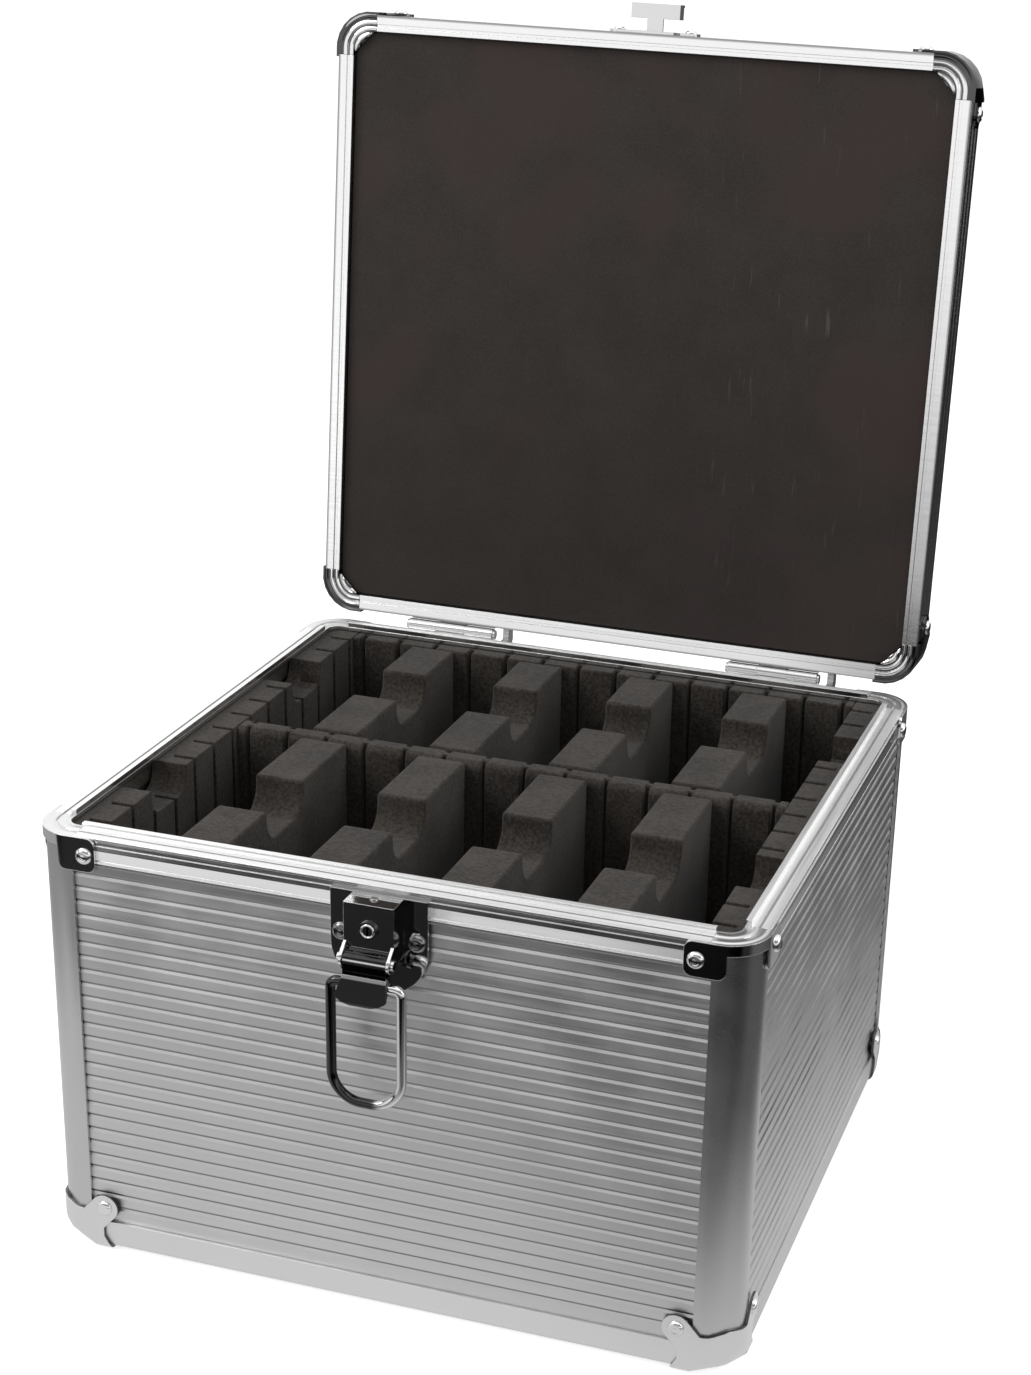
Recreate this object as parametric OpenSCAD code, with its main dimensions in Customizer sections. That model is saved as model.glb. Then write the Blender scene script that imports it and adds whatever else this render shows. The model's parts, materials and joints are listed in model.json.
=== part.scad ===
// Padded hard drive case: panels held in interlocking rails, a hinged lid and a lockable draw latch.
// X runs along the front, the front faces -Y, Z is up. The origin is under the middle of the footprint.

/* [Case] */
// Outside width, along X
case_w = 260; // [240:1:320]
// Outside depth, along Y
case_d = 246; // [240:1:320]
// Height of the base, from its lowest rail to its rim
base_h = 165; // [150:1:220]
// Height of the lid
lid_h = 25; // [24:0.5:32]
// Radius of the upright corners
corner_r = 13.5; // [12:0.1:15]
// Angle at which the stops hold the open lid
lid_open = 95.5; // [92:0.5:98]

/* [Walls] */
// Wall of the rails
rail_wall = 1.1; // [0.9:0.1:1.3]
// Thickness of the panels
panel_t = 4; // [3:0.1:5]
// Depth of the rail slots that grip the base and lid panels
rail_grip = 3.4; // [3:0.1:4]
// Depth of the post slots that grip the side panels
post_grip = 5; // [4:0.1:6]
// Distance between the grooves of the ribbed panels
rib_pitch = 5.35; // [4:0.05:8]
// Width of a panel groove at its mouth
rib_w = 2; // [1:0.1:3]
// Depth of a panel groove
rib_depth = 0.5; // [0.2:0.1:0.8]
// Sheet of the corner pieces
sheet_t = 1; // [0.8:0.1:1.2]
// Skirt of the rim rails below the rim
rim_skirt = 10.6; // [9:0.1:12]
// Height of the tongue round the rim
tongue_h = 2; // [1:0.1:2.3]
// Gap between neighbouring fixed pieces
fit = 0.1; // [0.08:0.01:0.15]
// Gap between the rim and the closed lid
lid_gap = 0.5; // [0.4:0.1:0.8]

/* [Feet] */
// Radius of the rubber feet
foot_r = 9; // [6:0.5:12]
// Height of the lowest rail above the floor
foot_gap = 1.5; // [1.3:0.1:3]
// Distance of each foot from the sides
foot_in = 32; // [31:1:50]

/* [Foam] */
// Wall of foam along the left and right sides
foam_side_t = 14.2; // [12:0.1:18]
// Wall of foam along the front and back
foam_front_t = 8.2; // [7:0.1:12]
// Foam wall between the two rows
foam_cross_t = 10; // [9:0.1:14]
// Foam under the drives
foam_floor_t = 7.2; // [5:0.1:12]
// Distance between the middles of neighbouring foam dividers
bay_pitch = 48.3; // [46:0.1:52]
// Thickness of a foam divider
divider_t = 19.2; // [16:0.1:22]
// Width of a knife cut in the foam
kerf_w = 1.8; // [1:0.1:2.4]
// Distance of the finger notches from the middle wall
notch_y = 60.6; // [50:0.1:64]
// Width of a finger notch
notch_w = 30; // [20:0.5:36]
// Depth of a finger notch
notch_h = 12.5; // [10:0.5:20]

/* [Hinges] */
// Distance of the hinges from the middle
hinge_x = 71; // [60:1:80]
// Width of a hinge
hinge_w = 38; // [30:1:46]
// Radius of the hinge knuckles
knuckle_r = 2.6; // [2.3:0.1:2.8]
// Radius of the hinge pins
hinge_pin_r = 1.2; // [1:0.1:1.4]
// Running gap round every pin
pin_fit = 0.05; // [0.03:0.01:0.08]
// Width of a lid stop
stop_w = 2.6; // [2:0.1:5]

/* [Latch] */
// Half width of the latch plate, which is also the radius of its round end
latch_r = 17.5; // [16.5:0.5:20]
// Half width of the lock box
box_x = 9; // [8.6:0.1:10]
// Distance of the lock box front from the case
box_a = 10; // [9.5:0.1:10.5]
// Radius of the lever pin
lever_pin_r = 1; // [0.8:0.1:1.2]
// Radius of the lock cylinder
lock_r = 2.6; // [2.2:0.1:2.8]
// Diameter of the bail wire
wire_d = 3.5; // [3:0.1:3.6]
// Half distance between the legs of the bail
bail_x = 12.75; // [12.6:0.05:14]
// Radius of the round end of the bail
bail_r = 11; // [8:0.5:11.5]

/* [Handle] */
// Distance of the handle brackets from the middle
bracket_x = 58; // [50:1:70]
// Reach of the handle from its pivots
grip_reach = 34; // [30:1:42]
// Diameter of the handle
grip_d = 9; // [8:0.5:10]
// Radius of the handle's bends
grip_bend = 10; // [8:0.5:14]
// Radius of the handle's stub pins
stub_r = 2.4; // [2:0.1:2.8]

/* [Hidden] */
$fn = 48;
facets = 24;
eps = 0.01;

// A side is numbered 0 front, 1 right, 2 back, 3 left, and a corner by the side that ends there.
half_w = case_w / 2;
half_d = case_d / 2;
function half_of(side) = side % 2 == 0 ? half_d : half_w;
function run_of(side) = side % 2 == 0 ? case_w : case_d;

// Rail section, measured inwards from the outer face
slot_w = panel_t + 2 * fit;
panel_in = rail_wall + fit;
slot_end = rail_wall + slot_w;
leg_in = slot_end + rail_wall;
core_in = leg_in + 1;
rail_in = core_in + rail_grip;
corner_end = corner_r + 2.6;
joint_in = corner_end + fit;
post_end = corner_r + 1.8;
post_slot = post_end - post_grip;
edge_r = 2.5;

// Levels above the floor
rail_z = foot_gap;
rim_z = rail_z + base_h;
rim_web = 4;
lip_w = 2.4;
lip_t = 1.5;
lid_z = rim_z + lid_gap;
lid_top = lid_z + lid_h;
post_z = rail_z + corner_r;

// Lid section
lid_wall = rail_wall + fit;
lid_lip_in = leg_in - fit;
lid_lip_t = 2;
lid_slot_top = lid_h - rail_wall;
lid_slot_low = lid_slot_top - slot_w;
lid_edge_r = 3;

// Bottom panel and ball corners
field_t = 0.3;
toe_in = 22.6;
ball_low_r = 8;

// Foam
foam_fit = 0.2;
foam_in = leg_in + foam_fit;
foam_x = half_w - foam_in;
foam_y = half_d - foam_in;
bay_x = foam_x - foam_side_t;
bay_y = foam_y - foam_front_t;
foam_z = rail_z + core_in + fit;
foam_top = rim_z - lip_t - 0.5;
floor_z = rail_z + panel_in + panel_t + fit;
floor_top = floor_z + foam_floor_t;
kerf_pitch = bay_pitch / 3;
side_kerf = 8.5;
front_kerf = 5.5;
cross_kerf = 3.7;

// Rivets
rivet_r = 3;
rivet_h = 1.7;
shank_r = 1.6;
hole_r = shank_r + 0.05;
rim_rivet_in = joint_in + 4.3;
rim_rivet_z = rim_z - 6.7;
ear_in = 21;
ear_z = 17;
ear_r = 5.2;
lid_ear_in = 21.5;
lid_ear_t = lid_h / 2;
top_rivet_in = 19.4;

// Hinges
leaf_t = 1;
hinge_y = half_d + 3.3;
hinge_z = lid_z + 0.5;
leaf_low = rim_z - 13;
leaf_top = rim_z - 1;
lid_leaf_low = lid_z + 2.5;
lid_leaf_top = lid_z + 13;
knuckle_w = hinge_w / 3;
leaf_rivet_z = rim_z - 7;
lid_leaf_rivet_t = 7.5;

// Latch, measured outwards from the front face and above the floor
plate_t = 1.2;
plate_z = rim_z - 21.5;
box_top = rim_z - 2.4;
box_low = box_top - 17.6;
latch_rivet_x = latch_r - 3.8;
latch_rivet_z = plate_z + 3.5;
lever_a = box_a + 2;
lever_z = plate_z - 0.5;
hub_r = 2.3;
ear_round = 2.9;
lever_w = 2 * (box_x - sheet_t - 0.3);
bail_a = lever_a + 0.6;
bail_z = lever_z - 8.5;
lever_ear_t = 1.5;
lock_z = box_top - 9.1;
cam_reach = 7.2;
cam_a = 5.2;
cam_t = 1.7;
tail_a = cam_a + cam_t + 0.4;
tail_z = lever_z + 6;
shelf_t = 10;
hook_a = 3;
hook_z = lid_z + shelf_t + 1 + wire_d / 2 + 0.3;
bail_len = sqrt(pow(hook_z - bail_z, 2) + pow(bail_a - hook_a, 2));

// Handle, on the outer face of the closed lid
pivot_y = -14;
lid_face = lid_z + lid_slot_top - fit;
pivot_z = lid_face + 7;
bracket_w = 10;
foot_plate_t = 2;
bracket_in = bracket_x - bracket_w / 2;
bracket_rivet_x = bracket_x + bracket_w / 2 + 6.5;
bracket_rivet_y = 5;

// Places the profile of a rail along one side, from a distance inside the corner
module along_side(side, start, z) {
    rotate([0, 0, 90 * side]) translate([-run_of(side) / 2 + start, -half_of(side), z])
        rotate([90, 0, 90]) linear_extrude(run_of(side) - 2 * start) children();
}

// Turns children so that their Z points out of one side, at a place along it
module out_of_side(side, along, z, out = 0) {
    rotate([0, 0, 90 * side]) translate([along, -half_of(side) - out, z]) rotate([90, 0, 0]) children();
}

// Puts a corner piece, drawn inwards from its own outer corner, at one corner of the footprint
module at_corner(corner) {
    sx = corner == 0 || corner == 3 ? 1 : -1;
    sy = corner < 2 ? 1 : -1;
    translate([-sx * half_w, -sy * half_d, 0]) mirror([sx < 0 ? 1 : 0, 0, 0]) mirror([0, sy < 0 ? 1 : 0, 0])
        children();
}

// Draws children and their copy with X and Y swapped
module both_arms() {
    children();
    mirror([1, -1, 0]) children();
}

// Holds what is drawn on the closed lid at the open position
module open_lid() {
    translate([0, hinge_y, hinge_z]) rotate([-lid_open, 0, 0]) translate([0, -hinge_y, -hinge_z]) children();
}

// Flat bar of a given width between two points, with round ends
module round_bar(p, q, r) {
    d = q - p;
    translate(p) circle(r);
    translate(q) circle(r);
    translate(p) rotate(atan2(d[1], d[0])) translate([0, -r]) square([norm(d), 2 * r]);
}

// Rounded block in the plane, from its lower left corner
module round_square(w, h, r) {
    translate([r, 0]) square([w - 2 * r, h]);
    translate([0, r]) square([w, h - 2 * r]);
    for (x = [r, w - r], y = [r, h - r]) translate([x, y]) circle(r);
}

// One rivet, its dome along +Z and its shank below
module rivet(depth, r = rivet_r, h = rivet_h, shank = shank_r) {
    dome = (r * r + h * h) / (2 * h);
    rotate_extrude() {
        intersection() {
            translate([0, h - dome]) circle(dome);
            square([r, h]);
        }
        translate([0, -depth]) square([shank, depth + eps]);
    }
}

// Places along a side, measured from both ends
function ends_of(side, inset) = [-run_of(side) / 2 + inset, run_of(side) / 2 - inset];

// Rivets of the base, or the holes for them
module base_fixings(hole = false) {
    depth = sheet_t + fit + panel_in + panel_t;
    for (side = [0:3]) {
        for (x = ends_of(side, rim_rivet_in)) out_of_side(side, x, rim_rivet_z, fit + sheet_t)
            fixing(hole, depth);
        for (x = ends_of(side, ear_in)) out_of_side(side, x, rail_z + ear_z, fit + sheet_t)
            fixing(hole, depth);
    }
    for (m = [-1, 1], k = [-1:1]) out_of_side(2, m * hinge_x + k * knuckle_w, leaf_rivet_z, leaf_t)
        fixing(hole, leaf_t + panel_in + panel_t, 2.2);
}
module fixing(hole, depth, r = rivet_r) {
    if (hole) translate([0, 0, -depth - fit / 2]) cylinder(r = hole_r, h = depth + 3);
    else rivet(depth - 0.2, r, r * 0.56);
}

// Rivets of the lid, or the holes for them
module lid_fixings(hole = false) {
    depth = sheet_t + fit + lid_wall + 0.6;
    for (side = [0:3], x = ends_of(side, lid_ear_in))
        out_of_side(side, x, lid_z + lid_ear_t, fit + sheet_t) fixing(hole, depth);
    for (corner = [0:3]) at_corner(corner)
        translate([top_rivet_in, top_rivet_in, lid_top + fit + sheet_t]) fixing(hole, 6);
    for (m = [-1, 1], k = [-1:1])
        out_of_side(2, m * hinge_x + k * knuckle_w, lid_z + lid_leaf_rivet_t, leaf_t)
            fixing(hole, leaf_t + lid_wall + 0.6, 2.2);
    for (m = [-1, 1]) out_of_side(0, m * catch_rivet_x, lid_z + catch_t, leaf_t)
        fixing(hole, leaf_t + lid_wall + 0.6, 2.5);
    for (m = [-1, 1], y = [-1, 1])
        translate([m * bracket_rivet_x, pivot_y + y * bracket_rivet_y, lid_face + foot_plate_t])
            fixing(hole, foot_plate_t + panel_t - 0.5, 2.5);
}

// Rivets of the latch plate, or the holes for them
module latch_fixings(hole = false) {
    for (m = [-1, 1]) out_of_side(0, m * latch_rivet_x, latch_rivet_z, plate_t)
        fixing(hole, plate_t + panel_in + panel_t, 3.2);
}

// Ribbed panels
function groove_points(from, to, out) = [
    for (k = [0:floor((to - from) / rib_pitch)], p = [[out, -1], [out + rib_depth, 0], [out, 1]])
        [p[0], from + k * rib_pitch + p[1] * rib_w / 2]
];
panel_low = rail_z + core_in + fit;
panel_top = rim_z - rim_web - fit;
module side_panel(side) {
    out = panel_in;
    color("silver") difference() {
        along_side(side, post_slot + fit, 0) polygon(concat([[out, panel_low]],
            groove_points(post_z + 3, panel_top - rib_w, out),
            [[out, panel_top], [out + panel_t, panel_top], [out + panel_t, panel_low]]));
        for (m = [-1, 1]) out_of_side(side, m * (run_of(side) / 2 - joint_in / 2), 0, 1)
            translate([-joint_in / 2 - fit, 0, -joint_in]) cube([joint_in + 2 * fit, post_z, joint_in + 2]);
        base_fixings(true);
        latch_fixings(true);
    }
}
module front_panel() { side_panel(0); }
module right_panel() { side_panel(1); }
module back_panel() { side_panel(2); }
module left_panel() { side_panel(3); }

// Plan of the panels that lie flat, clear of the rails and of a square at each corner
module flat_plan(inset = core_in + fit, corner_in = joint_in + fit) {
    difference() {
        square([case_w - 2 * inset, case_d - 2 * inset], center = true);
        for (x = [-1, 1], y = [-1, 1]) translate([x * half_w, y * half_d])
            square(2 * corner_in, center = true);
    }
}

// Bottom panel: its field stands proud of the gripped edge and has a shallow seat for each foot
module bottom_panel() {
    color("gray") difference() {
        translate([0, 0, rail_z + panel_in]) {
            linear_extrude(panel_t) flat_plan();
            translate([0, 0, -field_t]) linear_extrude(field_t + 1) flat_plan(rail_in + 1, toe_in + 1);
        }
        at_feet() cylinder(r = foot_r + fit, h = rail_z + panel_in);
    }
}
module lid_panel() {
    z = lid_z + lid_slot_low + fit;
    color("silver") open_lid() difference() {
        translate([0, 0, z]) linear_extrude(panel_t) flat_plan();
        for (y = [-half_d + joint_in + 2 : rib_pitch : half_d - joint_in - 2])
            translate([-half_w, y, z + panel_t]) rotate([90, 0, 90]) linear_extrude(case_w)
                polygon([[-rib_w, rib_depth], [0, -rib_depth], [rib_w, rib_depth]]);
        lid_fixings(true);
    }
}

// Plan of a strip that follows a corner between two depths, with straight arms
module corner_strip(from, to, end) {
    difference() {
        corner_area(from, end);
        corner_area(to, end + 1);
    }
}
module corner_area(depth, end) {
    intersection() {
        translate([corner_r, corner_r]) circle(corner_r - depth);
        translate([-5, -5]) square(corner_r + 5);
    }
    both_arms() translate([corner_r, depth]) square([end - corner_r, corner_r - depth]);
}

// Upright posts, each with a slot for the panel on either side
module post(corner) {
    wall = 1.4;
    back_wall = 1;
    h = rim_z - rim_web - 2 * fit - post_z;
    color("gainsboro") at_corner(corner) translate([0, 0, post_z]) difference() {
        union() {
            linear_extrude(h) corner_strip(0, wall, post_end);
            intersection() {
                linear_extrude(h) corner_strip(0, leg_in, post_end);
                both_arms() translate([post_slot - back_wall, -1, 0])
                    cube([post_grip + back_wall, leg_in + 1, h]);
            }
        }
        both_arms() translate([post_slot, rail_wall, -1]) cube([post_grip + 1, slot_w, h + 2]);
    }
}
module post_front_left() { post(0); }
module post_front_right() { post(1); }
module post_back_right() { post(2); }
module post_back_left() { post(3); }

// Rail sections, X inwards from the outer face and Y up
function band_points(top) = [
    [0, top - 10], [0.4, top - 10], [0.4, top - 9.4], [0, top - 9.4],
    [0, top - 8.6], [0.4, top - 8.6], [0.4, top - 8], [0, top - 8],
    [0, top - 2.7], [0.4, top - 2.7], [0.4, top - 0.8], [0, top - 0.8]
];
module rim_section() {
    polygon(concat([[0, -rim_skirt]], band_points(0), [
        [0, 0], [3.6, 0], [3.6, -0.4], [4.4, -0.4], [4.4, 0],
        [leg_in + 0.3, 0], [leg_in + 0.3, tongue_h], [leg_in + lip_w - fit, tongue_h],
        [leg_in + lip_w - fit, 0], [leg_in + lip_w, 0], [leg_in + lip_w, -lip_t], [leg_in, -lip_t],
        [leg_in, -rim_skirt], [slot_end, -rim_skirt], [slot_end, -rim_web],
        [rail_wall, -rim_web], [rail_wall, -rim_skirt]
    ]));
}
module rim_rail(side) {
    color("whitesmoke") difference() {
        along_side(side, joint_in, rim_z) rim_section();
        base_fixings(true);
    }
}
module rim_front() { rim_rail(0); }
module rim_right() { rim_rail(1); }
module rim_back() { rim_rail(2); }
module rim_left() { rim_rail(3); }

module bottom_section() {
    difference() {
        union() {
            square([rail_in, leg_in]);
            square([leg_in, rail_in]);
            square(core_in);
        }
        translate([core_in, rail_wall]) square([rail_grip + 1, slot_w]);
        translate([rail_wall, core_in]) square([slot_w, rail_grip + 1]);
        difference() {
            translate([-1, -1]) square(edge_r + 1);
            translate([edge_r, edge_r]) circle(edge_r);
        }
    }
}
module bottom_rail(side) {
    color("gainsboro") along_side(side, joint_in, rail_z) bottom_section();
}
module bottom_rail_front() { bottom_rail(0); }
module bottom_rail_right() { bottom_rail(1); }
module bottom_rail_back() { bottom_rail(2); }
module bottom_rail_left() { bottom_rail(3); }

module lid_section() {
    top = lid_h - lid_slot_top;
    difference() {
        union() {
            square([lid_wall, lid_h]);
            square([lid_lip_in, lid_lip_t]);
            translate([lid_lip_in - lid_wall, 0]) square([lid_wall, 9]);
            translate([0, lid_slot_low - rail_wall]) square([rail_in, slot_w + rail_wall + top]);
        }
        translate([core_in, lid_slot_low]) square([rail_grip + 1, slot_w]);
        translate([3.5, -1]) square([1.2, 1.5]);
        for (low = [8, 9.4]) translate([-1, lid_h - low - 0.6]) square([1.4, 0.6]);
        for (low = [8, 9.4]) translate([-1, low]) square([1.4, 0.6]);
        translate([-1, 0.8]) square([1.4, 1.9]);
        difference() {
            translate([-1, lid_h - lid_edge_r]) square(lid_edge_r + 1);
            translate([lid_edge_r, lid_h - lid_edge_r]) circle(lid_edge_r);
        }
    }
}
module lid_rail(side) {
    color("whitesmoke") open_lid() difference() {
        along_side(side, joint_in, lid_z) lid_section();
        lid_fixings(true);
    }
}
module lid_rail_front() { lid_rail(0); }
module lid_rail_right() { lid_rail(1); }
module lid_rail_back() { lid_rail(2); }
module lid_rail_left() { lid_rail(3); }

// Rim corners: a bright angle swept round the corner, with two riveted tabs
module rim_corner(corner) {
    out = fit + sheet_t;
    tab_end = rim_rivet_in + 4.1;
    tab_start = rim_rivet_in - 10.3;
    tab_low = 6.7 + 6;
    color("silver") difference() {
        at_corner(corner) translate([0, 0, rim_z]) {
            difference() {
                translate([0, 0, -rim_web]) linear_extrude(rim_web) corner_strip(-out, leg_in, corner_end);
                translate([0, 0, -0.4]) linear_extrude(1) corner_strip(3.6, 4.4, corner_end + 1);
            }
            translate([0, 0, -lip_t]) linear_extrude(lip_t) corner_strip(leg_in, leg_in + lip_w, corner_end);
            both_arms() intersection() {
                translate([0, 0, -tab_low]) linear_extrude(tab_low) corner_strip(-out, -fit, tab_end);
                translate([tab_start, corner_r / 2, -tab_low]) rotate([90, 0, 0])
                    linear_extrude(corner_r / 2 + 2 * out) {
                        round_square(tab_end - tab_start, tab_low, 3);
                        translate([0, tab_low / 2]) square([3, tab_low / 2]);
                        translate([0, tab_low - rim_web + 0.5]) square([corner_end - tab_start, rim_web - 0.5]);
                    }
            }
        }
        base_fixings(true);
    }
}
module rim_corner_front_left() { rim_corner(0); }
module rim_corner_front_right() { rim_corner(1); }
module rim_corner_back_right() { rim_corner(2); }
module rim_corner_back_left() { rim_corner(3); }

// Pressed ball corner, drawn inwards from its corner with Z away from the outer face
module ball_form(grow, reach) {
    ball = (corner_r + grow) / cos(180 / facets);
    edge = (edge_r + grow) / cos(180 / facets);
    low = ball_low_r + grow;
    hull() {
        translate([corner_r, corner_r, ball_low_r]) rotate([0, 0, 180 / facets]) {
            for (a = [15:15:90]) translate([0, 0, -low * sin(a)])
                cylinder(r = ball - low * (1 - cos(a)), h = eps, $fn = facets);
            cylinder(r = ball, h = reach, $fn = facets);
        }
        both_arms() translate([corner_r + 2.5, edge_r, edge_r]) rotate([0, 90, 0])
            rotate([0, 0, 180 / facets]) cylinder(r = edge, h = reach, $fn = facets);
    }
}
module ball_shell() {
    intersection() {
        difference() {
            ball_form(fit + sheet_t, 50);
            ball_form(fit, 90);
        }
        both_arms() intersection() {
            translate([0, corner_r * 3, 0]) rotate([90, 0, 0]) linear_extrude(corner_r * 4) children();
            translate([0, 0, -5]) linear_extrude(60) polygon([[-5, -5], [60, 60], [60, -5]]);
        }
        translate([0, 0, -5]) cylinder(r = 31, h = 60);
    }
}

// Outline of one face of a foot corner: body, raised ear and toe
module foot_outline() {
    translate([-5, -5]) square([25.3, 18]);
    polygon([[-5, 10], [-5, 17], [2.5, 17], [6, 16.2], [9.5, 15.2], [13, 15.2], [13, 10]]);
    round_bar([ear_in - 8, ear_z - 9], [ear_in, ear_z], ear_r);
    polygon([[19, -5], [toe_in, -5], [toe_in, 1], [20, 5.4], [19, 5.4]]);
}
module foot_corner(corner) {
    color("silver") difference() {
        at_corner(corner) translate([0, 0, rail_z]) ball_shell() foot_outline();
        base_fixings(true);
    }
}
module foot_corner_front_left() { foot_corner(0); }
module foot_corner_front_right() { foot_corner(1); }
module foot_corner_back_right() { foot_corner(2); }
module foot_corner_back_left() { foot_corner(3); }

// Outline of one face of a lid corner, measured down from the top of the lid
module lid_outline() {
    translate([-5, -5]) square([22, lid_h + 5]);
    translate([lid_ear_in, lid_h - lid_ear_t]) circle(ear_r);
    translate([16, lid_h - lid_ear_t - ear_r]) square([lid_ear_in - 16, 2 * ear_r]);
}
module lid_corner(corner) {
    bar_r = 1.1;
    bar_t = 1.3;
    plate_r = corner_r + fit + sheet_t / 2;
    near = lid_lip_in;
    far = corner_r + 0.3;
    color("silver") open_lid() difference() {
        at_corner(corner) {
            translate([0, 0, lid_top]) mirror([0, 0, 1]) ball_shell() lid_outline();
            translate([0, 0, lid_z]) difference() {
                linear_extrude(lid_lip_t) difference() {
                    union() {
                        intersection() {
                            translate([corner_r, corner_r]) circle(plate_r);
                            translate([-5, -5]) square(corner_r + 5);
                        }
                        both_arms() translate([corner_r, -fit - sheet_t / 2])
                            square([corner_end - corner_r, near + fit + sheet_t / 2]);
                    }
                    polygon([[near, 40], [near, far], [far, near], [40, near], [40, 40]]);
                }
                translate([0, 0, -1]) linear_extrude(1.5) corner_strip(3.5, 4.7, corner_end + 1);
            }
            translate([near, far, lid_z + bar_t]) rotate([0, 90, -45])
                cylinder(r = bar_r, h = (far - near) * sqrt(2));
        }
        lid_fixings(true);
    }
}
module lid_corner_front_left() { lid_corner(0); }
module lid_corner_front_right() { lid_corner(1); }
module lid_corner_back_right() { lid_corner(2); }
module lid_corner_back_left() { lid_corner(3); }

module base_rivets() { color("lightgray") base_fixings(); }
module lid_rivets() { color("lightgray") open_lid() lid_fixings(); }
module latch_rivets() {
    color("lightgray") {
        latch_fixings();
        translate([0, -half_d - box_a / 2, box_top]) rivet(sheet_t, 1.5, 0.7, 0.7);
    }
}
module at_feet() {
    for (x = [-1, 1], y = [-1, 1]) translate([x * (half_w - foot_in), y * (half_d - foot_in), 0]) children();
}
module base_feet() {
    color("dimgray") at_feet() cylinder(r = foot_r, h = rail_z + panel_in);
}

// Foam walls with upright knife cuts
kerf_places = [for (k = [-8:8]) (k + 0.5) * kerf_pitch];
module foam_wall(side, thick, kerf) {
    half = side % 2 == 0 ? bay_x : foam_y;
    limit = side % 2 == 0 ? bay_x : bay_y;
    inset = foam_in;
    difference() {
        rotate([0, 0, 90 * side]) translate([0, -half_of(side) + inset, foam_z])
            linear_extrude(foam_top - foam_z) difference() {
                if (side % 2 == 0) translate([-half, 0]) square([2 * half, thick]);
                else side_plan(half, thick);
                for (x = kerf_places) if (abs(x) + kerf_w / 2 < limit)
                    translate([x - kerf_w / 2, thick - kerf]) square([kerf_w, kerf + 1]);
            }
        children();
    }
}
module side_plan(half, thick) {
    r = corner_r - foam_in;
    translate([-half + r, 0]) square([2 * (half - r), thick]);
    translate([-half, r]) square([2 * half, thick - r]);
    for (m = [-1, 1]) translate([m * (half - r), r]) circle(r);
}
module finger_notches(x, width, w, h, r) {
    for (m = [-1, 1]) translate([x - width / 2, m * notch_y, foam_top - h])
        rotate([90, 0, 90]) linear_extrude(width) {
            translate([-w / 2, r]) square([w, h]);
            translate([-w / 2 + r, 0]) square([w - 2 * r, r + 1]);
            for (s = [-1, 1]) translate([s * (w / 2 - r), r]) circle(r);
        }
}
module foam_front_wall() { color("#3a3633") foam_wall(0, foam_front_t, front_kerf); }
module foam_back_wall() { color("#3a3633") foam_wall(2, foam_front_t, front_kerf); }
module foam_right_wall() {
    color("#3a3633") foam_wall(1, foam_side_t, side_kerf)
        finger_notches(half_w - foam_in - foam_side_t / 2, foam_side_t + 2, notch_w - 3, notch_h - 2.5, 7);
}
module foam_left_wall() {
    color("#3a3633") foam_wall(3, foam_side_t, side_kerf)
        finger_notches(-half_w + foam_in + foam_side_t / 2, foam_side_t + 2, notch_w - 3, notch_h - 2.5, 7);
}
module foam_cross_wall() {
    t = foam_cross_t / 2;
    r = 3;
    h = foam_top - floor_top - fit;
    color("#3a3633") intersection() {
        translate([0, 0, floor_top + fit]) linear_extrude(h) difference() {
            square([2 * (bay_x - fit), 2 * t], center = true);
            for (x = kerf_places, m = [-1, 1]) if (abs(x) + kerf_w / 2 < bay_x - 2)
                translate([x, m * (t - cross_kerf / 2 + 0.5)])
                    square([kerf_w, cross_kerf + 1], center = true);
        }
        translate([-half_w, 0, floor_top]) rotate([90, 0, 90]) linear_extrude(case_w) {
            translate([-t, 0]) square([2 * t, h - r]);
            translate([-t + r, 0]) square([2 * (t - r), h + fit]);
            for (m = [-1, 1]) translate([m * (t - r), h + fit - r]) circle(r);
        }
    }
}
module foam_floor() {
    color("#2f2c2a") translate([-bay_x + fit, -bay_y + fit, floor_z])
        cube([2 * (bay_x - fit), 2 * (bay_y - fit), foam_floor_t]);
}
module foam_dividers(row) {
    low = foam_cross_t / 2 + fit;
    high = bay_y - fit;
    color("#3a3633") for (k = [-1.5:1.5]) difference() {
        translate([k * bay_pitch - divider_t / 2, row > 0 ? low : -high, floor_top + fit])
            cube([divider_t, high - low, foam_top - floor_top - fit]);
        finger_notches(k * bay_pitch, divider_t + 2, notch_w, notch_h, 9);
    }
}
module foam_dividers_front() { foam_dividers(-1); }
module foam_dividers_back() { foam_dividers(1); }
module lid_lining() {
    low = lid_z + lid_lip_t + 0.6;
    high = lid_z + lid_slot_low - rail_wall - 0.4;
    inset = leg_in + fit;
    color("#37332f") open_lid() translate([-half_w + inset, -half_d + inset, low])
        cube([case_w - 2 * inset, case_d - 2 * inset, high - low]);
}

// Hinges
module knuckle(x, w, bore) {
    translate([x, hinge_y, hinge_z]) rotate([0, 90, 0]) difference() {
        cylinder(r = knuckle_r, h = w, center = true);
        cylinder(r = bore, h = w + 2, center = true);
    }
}
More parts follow.
